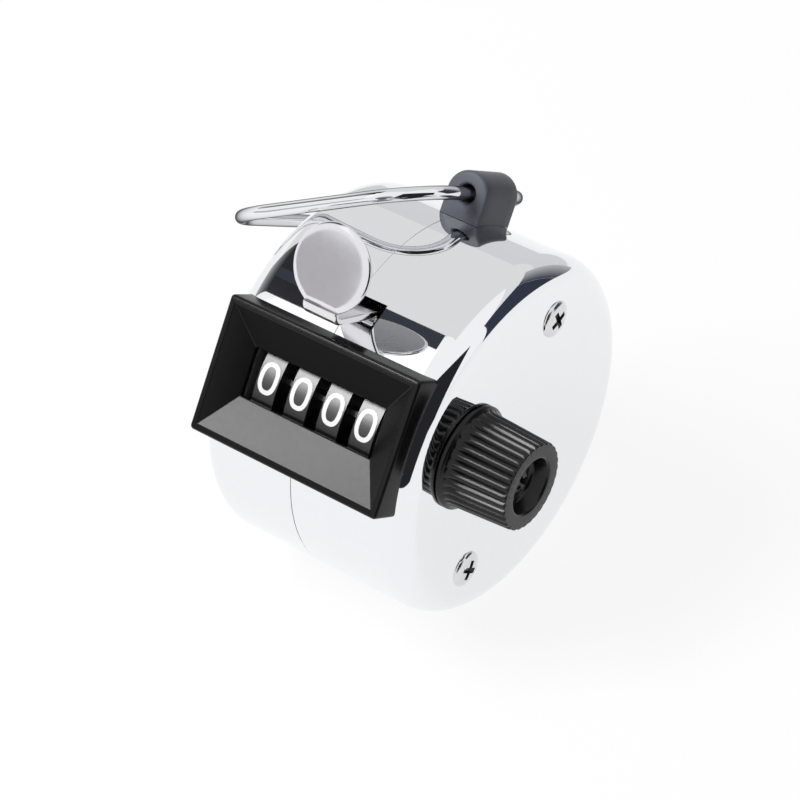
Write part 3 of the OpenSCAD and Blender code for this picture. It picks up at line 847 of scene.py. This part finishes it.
class COUNTER_OT_finger_ring(bpy.types.Operator):
    """Build the polished wire ring and the moulded block that carries it"""

    bl_idname = "counter.finger_ring"
    bl_label = "Finger ring"

    def execute(self, context):
        t = in_mm(context.scene.counter_trim)
        s = in_mm(context.scene.counter_case)
        axes = turned(BLOCK_ANGLE)
        hole_out = s.drum_r + HOLE_RISE
        self.ring(t, axes, hole_out)
        self.block(s, axes, hole_out)
        return {"FINISHED"}

    def ring(self, t, axes, hole_out):
        """The wire ring, which droops from the block's hole."""
        corners = rounded_box(t.ring_l / 2, t.ring_w / 2, t.ring_corner, steps=25)
        path = []
        for p, q in zip(corners, np.roll(corners, -1, 0)):
            parts = max(1, round(np.linalg.norm(q - p)))
            path += [p + (q - p) * k / parts for k in range(parts)]
        path = np.array(path)
        ahead = np.roll(path, -1, 0) - np.roll(path, 1, 0)
        ahead /= np.linalg.norm(ahead, axis=1, keepdims=True)
        away = np.stack([ahead[:, 1], -ahead[:, 0]], 1)
        loops = []
        for p, n in zip(path, away):
            loop = []
            for a in np.linspace(0.0, 2 * math.pi, 24, endpoint=False):
                q = p + n * t.wire_r * math.cos(a)
                rise = t.wire_r * math.sin(a)
                along = q[0] - t.ring_l / 2
                x = along * math.cos(RING_DROOP) - rise * math.sin(RING_DROOP)
                out = along * math.sin(RING_DROOP) + rise * math.cos(RING_DROOP)
                loop.append((x, hole_out + out, q[1]))
            loops.append(np.array(loop))
        points, faces = loft(loops, closed=True)
        mesh = outward(mesh_of("finger_ring", points @ axes, faces))
        shown("finger_ring_wire", mesh, "ring", "ring_wire", "finger_ring")

    def block(self, s, axes, hole_out):
        """The moulded block on the drum, with the hole for the ring."""
        half_len, block_r, hole_r, mouth, edge = 3.85, 2.8, 1.2, 0.2, 0.35
        over, under = 33, 15
        count = over + under

        def outline(inset, z):
            r = block_r - inset
            base = math.sqrt(s.drum_r**2 - z * z) + SEAT_GAP
            top = arc(0.0, hole_out, r, r, 0, 180, over)
            low = np.stack([np.linspace(-r, r, under), np.full(under, base)], 1)
            flat = np.concatenate([top, low])
            return np.stack([flat[:, 0], flat[:, 1], np.full(count, z)], 1) @ axes

        def bore(r, z):
            turns = [np.linspace(0, 180, over), np.linspace(202, 338, under)]
            a = np.radians(np.concatenate(turns))
            return np.stack([r * np.cos(a), hole_out + r * np.sin(a), np.full(count, z)], 1) @ axes

        rounds = [
            (edge * (1 - math.cos(a)), half_len - edge * (1 - math.sin(a)))
            for a in np.radians([0, 30, 60, 90])
        ]
        rows = [bore(hole_r + mouth, -half_len)]
        rows += [outline(inset, -z) for inset, z in reversed(rounds)]
        rows += [outline(0.0, z) for z in (-2.0, 0.0, 2.0)]
        rows += [outline(inset, z) for inset, z in rounds]
        rows.append(bore(hole_r + mouth, half_len))
        rows += [bore(hole_r, half_len - mouth), bore(hole_r, mouth - half_len)]
        mesh = outward(mesh_of("ring_block", *loft(rows, closed=True), sharp=38.0))
        shown("ring_block_moulded", mesh, "case", "grey_block", "ring_block")


# Number wheels

WHEEL_PITCH = 4.7  # millimetres from one wheel to the next
FIRST_FIGURE = 143.6  # degrees at which the 0 stands
FIGURE_STEP = 36.0  # degrees from one figure to the next
INK_LIFT = 0.012  # millimetres of the ink above the wheel
INK_STEP = 0.3  # millimetres between a stroke's points


def figure_lines():
    """Strokes of the figures 0 to 9, each in a box one high and one wide."""
    ring = arc(0, 0, 1, 1, 90, 450, 49)
    hook = arc(0.0, 0.2, 0.48, 0.3, 165, -35, 15)
    three = [arc(0, 0.26, 0.42, 0.24, 155, -90, 15), arc(0, -0.24, 0.5, 0.26, 90, -155, 17)]
    bowl = arc(-0.02, -0.19, 0.5, 0.31, 125, -150, 19)
    six = [arc(0.12, 0.0, 0.62, 0.5, 60, 168, 11), arc(0, -0.2, 0.5, 0.3, 180, 540, 33)]
    return (
        [0.5 * np.sign(ring) * np.abs(ring) ** 0.8],
        [np.array([(-0.28, 0.28), (0.05, 0.5), (0.05, -0.5)])],
        [np.concatenate([hook, [(-0.5, -0.5), (0.5, -0.5)]])],
        [np.concatenate(three)],
        [np.array([(0.2, -0.5), (0.2, 0.5), (-0.5, -0.18), (0.5, -0.18)])],
        [np.concatenate([[(0.42, 0.5), (-0.38, 0.5), (-0.42, 0.06)], bowl])],
        [np.concatenate(six)],
        [np.array([(-0.5, 0.5), (0.5, 0.5), (-0.12, -0.5)])],
        [arc(0, 0.26, 0.42, 0.24, 270, 630, 33), arc(0, -0.24, 0.5, 0.26, 90, 450, 33)],
        [-np.concatenate(six)],
    )


def finely(line, step):
    """The stroke with its points no further apart than a step, so that it bends with the wheel."""
    points = [line[0]]
    for p, q in zip(line, line[1:]):
        parts = math.ceil(np.linalg.norm(q - p) / step)
        points += [p + (q - p) * k / parts for k in range(1, parts + 1)]
    return np.array(points)


def inked(line, half):
    """A flat ribbon along a stroke, with round ends."""
    shut = np.linalg.norm(line[0] - line[-1]) < 1e-6
    ahead = np.diff(line, axis=0)
    ahead /= np.linalg.norm(ahead, axis=1, keepdims=True)
    first, last = (ahead[-1:], ahead[:1]) if shut else (ahead[:1], ahead[-1:])
    before = np.concatenate([first, ahead])
    after = np.concatenate([ahead, last])
    mean = before + after
    mean /= np.linalg.norm(mean, axis=1, keepdims=True)
    stretch = 1.0 / np.maximum((mean * before).sum(1), 0.5)
    left = np.stack([-mean[:, 1], mean[:, 0]], 1) * (half * stretch)[:, None]
    n = len(line)
    faces = [(i, i + 1, n + i + 1, n + i) for i in range(n - 1)]
    shapes = [(np.concatenate([line + left, line - left]), faces)]
    if not shut:
        for tip, way in ((line[0], -ahead[0]), (line[-1], ahead[-1])):
            facing = math.degrees(math.atan2(way[1], way[0]))
            cap = arc(tip[0], tip[1], half, half, facing - 90, facing + 90, 13)
            shapes.append((cap, [tuple(range(13))]))
    return joined(*shapes)


class COUNTER_OT_figures(bpy.types.Operator):
    """Print the figures 0 to 9 on the number wheels"""

    bl_idname = "counter.figures"
    bl_label = "Figures"

    def execute(self, context):
        t = in_mm(context.scene.counter_trim)
        place = joint_place("reset_turn")
        half = t.figure_line / 2
        tall, wide = t.figure_h - t.figure_line, t.figure_w - t.figure_line
        for k, wheel in enumerate(WHEELS):
            low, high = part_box(wheel + "_wheel")
            radius = (high[1] - low[1]) / 2 / MM + INK_LIFT
            middle = WHEEL_PITCH * (k - 1.5)
            shapes = []
            for n, lines in enumerate(figure_lines()):
                for line in lines:
                    points, faces = inked(finely(line * (wide, tall), INK_STEP), half)
                    a = math.radians(FIRST_FIGURE - FIGURE_STEP * n) - points[:, 1] / radius
                    shapes.append((circle(middle + points[:, 0], radius, a, place), faces))
            mesh = mesh_of(wheel + "_figures", *joined(*shapes))
            shown(wheel + "_figures", mesh, wheel, "black_wheel", look="figure_white")
        return {"FINISHED"}


class COUNTER_OT_mechanism(bpy.types.Operator):
    """Give the wheels, gears, plates, shafts and springs their finishes"""

    bl_idname = "counter.mechanism"
    bl_label = "Mechanism"

    def execute(self, context):
        slots = {p["node"]: p["material_slot"] for p in frame["record"]["subparts"]}
        for name, node in frame["nodes"].items():
            node.data.materials.clear()
            node.data.materials.append(finish(SLOT_FINISH[slots[name]]))
        return {"FINISHED"}


# Studio

LENS, SENSOR = 125.424, 36.0
CAMERA_PLACE = (0.1559976, -0.2104477, 0.2127262)
CAMERA_TURN = (50.8352, 0.0, 36.9366)  # degrees
CAMERA_NEAR = 0.01
AMBIENT = 0.45  # strength of the world where it lights but isn't seen
FLOOR_REACH = 3.0
FLOOR_GAP = 0.00005  # metres under the drum
FLOOR_BASE, FLOOR_GLOW = 0.13, 0.865
KEY = (125.3, 0.6, -0.36, -0.2)  # angle above the rear, distance, left end, right end
KEY_HEIGHT = 0.44
KEY_WATTS = 4.4
# pieces that mirror the key's card and do without the lamp
MIRRORS = (
    "drum_left_shell",
    "drum_right_shell",
    "thumb_lever_pressed",
    "finger_ring_wire",
    "cover_screw_upper",
    "cover_screw_lower",
)
# tones of the cards
WHITE, PALE, GREY = (1.2, 1.2, 1.2), (0.8, 0.8, 0.79), (0.52, 0.515, 0.53)
HALF, COOL, BACK = (0.5, 0.5, 0.5), (0.5, 0.51, 0.52), (0.7, 0.705, 0.71)
NAVY, DARK, FLAG = (0.04, 0.045, 0.058), (0.02, 0.02, 0.023), (0.035, 0.042, 0.065)
LONG_CARDS = (
    # name, angle above the rear, distance, left end, right end, half height, left and right tones
    ("key_card", 125.3, 0.61, -0.366, -0.203, 0.2237, WHITE, WHITE),
    ("ceiling_card", 61.0, 0.7, -1.1, 0.23, 0.5, PALE, PALE),
    ("ceiling_right", 38.0, 0.7, 0.21, 1.0, 0.149, PALE, PALE),
    ("rear_card", 11.0, 0.7, -1.1, 1.0, 0.188, BACK, BACK),
    ("dark_strip", 100.5, 0.5, -0.31, -0.225, 0.044, NAVY, NAVY),
    ("left_flag", 97.5, 0.5, -1.2, -0.288, 0.172, HALF, DARK),
    ("front_grey", 173.2, 0.6, -0.9, -0.245, 0.114, GREY, GREY),
)
SIDE_CARDS = (
    # name, direction, distance, lies flat, half width, half height, left and right tones
    ("right_flag", (0.753, 0.65, 0.101), 0.3462, False, 0.1, 0.17, FLAG, FLAG),
    ("right_end", (0.36, 0.922, 0.141), 0.3552, False, 0.072, 0.17, COOL, FLAG),
    ("right_wall", (0.84, -0.42, 0.2), 0.36, False, 0.2, 0.2, DARK, DARK),
    ("right_floor", (0.23, -0.17, -0.0215), 0.287, True, 0.13, 0.12, DARK, DARK),
)


def board_place(middle, away):
    """Matrix of a board at a place, with its back to a direction and its width along the drum."""
    wide = (Vector((1.0, 0.0, 0.0)) - away * away.x).normalized()
    turn = Matrix((wide, away.cross(wide), away)).transposed().to_4x4()
    return Matrix.Translation(middle) @ turn


def along_drum(turn, distance, low, high):
    """Place, direction, and half width of a board that runs along the drum's axis."""
    away = Vector((0.0, math.cos(math.radians(turn)), math.sin(math.radians(turn))))
    return away * distance + Vector(((low + high) / 2, 0.0, 0.0)), away, (high - low) / 2


def sheet(name, half_w, half_h, z, material):
    """A flat mesh at a height, in metres."""
    mesh = bpy.data.meshes.new(name)
    mesh.from_pydata(
        [(-half_w, -half_h, z), (half_w, -half_h, z), (half_w, half_h, z), (-half_w, half_h, z)],
        [],
        [(0, 1, 2, 3)],
    )
    mesh.materials.append(material)
    return mesh


def card(name, middle, away, half_w, half_h, left, right):
    """A flat studio card that shows only in reflections."""
    mesh = sheet(name, half_w, half_h, 0.0, card_light(name, left, right))
    board = bpy.data.objects.new(name, mesh)
    board.matrix_world = board_place(middle, away)
    board.visible_camera = False
    board.visible_shadow = False
    board.visible_diffuse = False
    bpy.context.scene.collection.objects.link(board)


def card_light(name, left, right):
    """A card's own light, which runs evenly from its left tone to its right one."""
    mat = bpy.data.materials.new(name)
    mat.use_nodes = True
    tree = mat.node_tree
    tree.nodes.clear()
    coords = tree.nodes.new("ShaderNodeTexCoord")
    split = tree.nodes.new("ShaderNodeSeparateXYZ")
    blend = tree.nodes.new("ShaderNodeMix")
    blend.data_type = "RGBA"
    preset(blend, {"A": (*left, 1.0), "B": (*right, 1.0)})
    glow = tree.nodes.new("ShaderNodeEmission")
    leave = tree.nodes.new("ShaderNodeOutputMaterial")
    link(tree, coords.outputs["Generated"], split.inputs[0])
    link(tree, split.outputs["X"], blend.inputs["Factor"])
    link(tree, blend.outputs["Result"], glow.inputs["Color"])
    link(tree, glow.outputs[0], leave.inputs["Surface"])
    return mat


def seen_directly(tree):
    """A value that is 1 for camera, glossy and transmission rays."""
    rays = tree.nodes.new("ShaderNodeLightPath").outputs
    most = rays["Is Camera Ray"]
    for label in ("Is Glossy Ray", "Is Transmission Ray"):
        most = math_node(tree, "MAXIMUM", most, rays[label]).outputs[0]
    return most


class COUNTER_OT_studio(bpy.types.Operator):
    """Set up the pale floor, the soft studio light and the camera"""

    bl_idname = "counter.studio"
    bl_label = "Studio"

    def execute(self, context):
        scene = context.scene
        scene.view_settings.view_transform = "Standard"
        self.world(scene)
        self.floor(scene)
        self.cards()
        self.key_lamp(scene)
        self.camera(scene)
        return {"FINISHED"}

    def world(self, scene):
        """Even light all round that shows white where it is seen."""
        world = bpy.data.worlds.new("studio")
        world.use_nodes = True
        tree = world.node_tree
        sky = tree.nodes["Background"]
        preset(sky, {"Color": (1.0, 1.0, 1.0, 1.0)})
        level = tree.nodes.new("ShaderNodeMapRange")
        preset(level, {"To Min": AMBIENT, "To Max": 1.0})
        link(tree, seen_directly(tree), level.inputs["Value"])
        link(tree, level.outputs["Result"], sky.inputs["Strength"])
        scene.world = world

    def floor(self, scene):
        """Pale floor under the drum, white where it is seen, that keeps the shadow."""
        mat = bpy.data.materials.new("pale_floor")
        mat.use_nodes = True
        tree = mat.node_tree
        shader = tree.nodes["Principled BSDF"]
        preset(shader, {"Base Color": (FLOOR_BASE, FLOOR_BASE, FLOOR_BASE, 1.0)})
        preset(shader, {"Roughness": 0.9, "Specular IOR Level": 0.0})
        preset(shader, {"Emission Color": (1.0, 1.0, 1.0, 1.0)})
        level = math_node(tree, "MULTIPLY", seen_directly(tree), FLOOR_GLOW)
        link(tree, level.outputs[0], shader.inputs["Emission Strength"])
        mesh = sheet("floor", FLOOR_REACH, FLOOR_REACH, cad_box[0][2] - FLOOR_GAP, mat)
        ground = bpy.data.objects.new("floor", mesh)
        scene.collection.objects.link(ground)

    def cards(self):
        """The cards that the chrome mirrors."""
        for name, turn, distance, low, high, half_h, left, right in LONG_CARDS:
            middle, away, half_w = along_drum(turn, distance, low, high)
            card(name, middle, away, half_w, half_h, left, right)
        for name, aim, distance, flat, half_w, half_h, left, right in SIDE_CARDS:
            aim = Vector(aim).normalized()
            away = Vector((0.0, 0.0, -1.0)) if flat else aim
            card(name, aim * distance, away, half_w, half_h, left, right)

    def key_lamp(self, scene):
        """The lamp in the place of the key card, for all pieces but the mirrors."""
        middle, away, half_w = along_drum(*KEY)
        lamp = bpy.data.lights.new("key", "AREA")
        lamp.shape = "RECTANGLE"
        lamp.size, lamp.size_y = 2 * half_w, KEY_HEIGHT
        lamp.energy = KEY_WATTS
        key = bpy.data.objects.new("key", lamp)
        key.matrix_world = board_place(middle, away)
        scene.collection.objects.link(key)
        left_out = bpy.data.collections.new("key_left_out")
        for name in MIRRORS:
            left_out.objects.link(bpy.data.objects[name])
        key.light_linking.receiver_collection = left_out
        for row in left_out.collection_objects:
            row.light_linking.link_state = "EXCLUDE"

    def camera(self, scene):
        """The camera that was fitted to the photo."""
        view = bpy.data.cameras.new("camera")
        view.sensor_width = SENSOR
        view.lens = LENS
        view.clip_start = CAMERA_NEAR
        camera = bpy.data.objects.new("camera", view)
        camera.location = CAMERA_PLACE
        camera.rotation_euler = [math.radians(turn) for turn in CAMERA_TURN]
        scene.collection.objects.link(camera)
        scene.camera = camera


class COUNTER_PT_panel(bpy.types.Panel):
    """Lists the counter's build steps and settings"""

    bl_idname = "COUNTER_PT_panel"
    bl_label = "Tally Counter"
    bl_space_type = "VIEW_3D"
    bl_region_type = "UI"
    bl_category = "Tally Counter"

    def draw(self, context):
        for step in STEPS:
            self.layout.operator(step.bl_idname)
        for group in SETTINGS:
            settings = getattr(context.scene, group)
            box = self.layout.box()
            for prop in own_props(settings):
                box.prop(settings, prop.identifier)


SETTINGS = {"counter_case": CaseSizes, "counter_trim": TrimSizes, "counter_colours": FinishColours}
STEPS = (
    COUNTER_OT_mechanism,
    COUNTER_OT_drum,
    COUNTER_OT_window_frame,
    COUNTER_OT_thumb_lever,
    COUNTER_OT_reset_knob,
    COUNTER_OT_cover_screws,
    COUNTER_OT_finger_ring,
    COUNTER_OT_figures,
    COUNTER_OT_studio,
)


def register():
    for name, group in SETTINGS.items():
        bpy.utils.register_class(group)
        setattr(bpy.types.Scene, name, bpy.props.PointerProperty(type=group))
    for step in STEPS:
        bpy.utils.register_class(step)
    bpy.utils.register_class(COUNTER_PT_panel)


def unregister():
    bpy.utils.unregister_class(COUNTER_PT_panel)
    for step in reversed(STEPS):
        bpy.utils.unregister_class(step)
    for name, group in SETTINGS.items():
        delattr(bpy.types.Scene, name)
        bpy.utils.unregister_class(group)


def main():
    register()
    for step in STEPS:
        area, name = step.bl_idname.split(".")
        getattr(getattr(bpy.ops, area), name)()


if __name__ == "__main__":
    main()
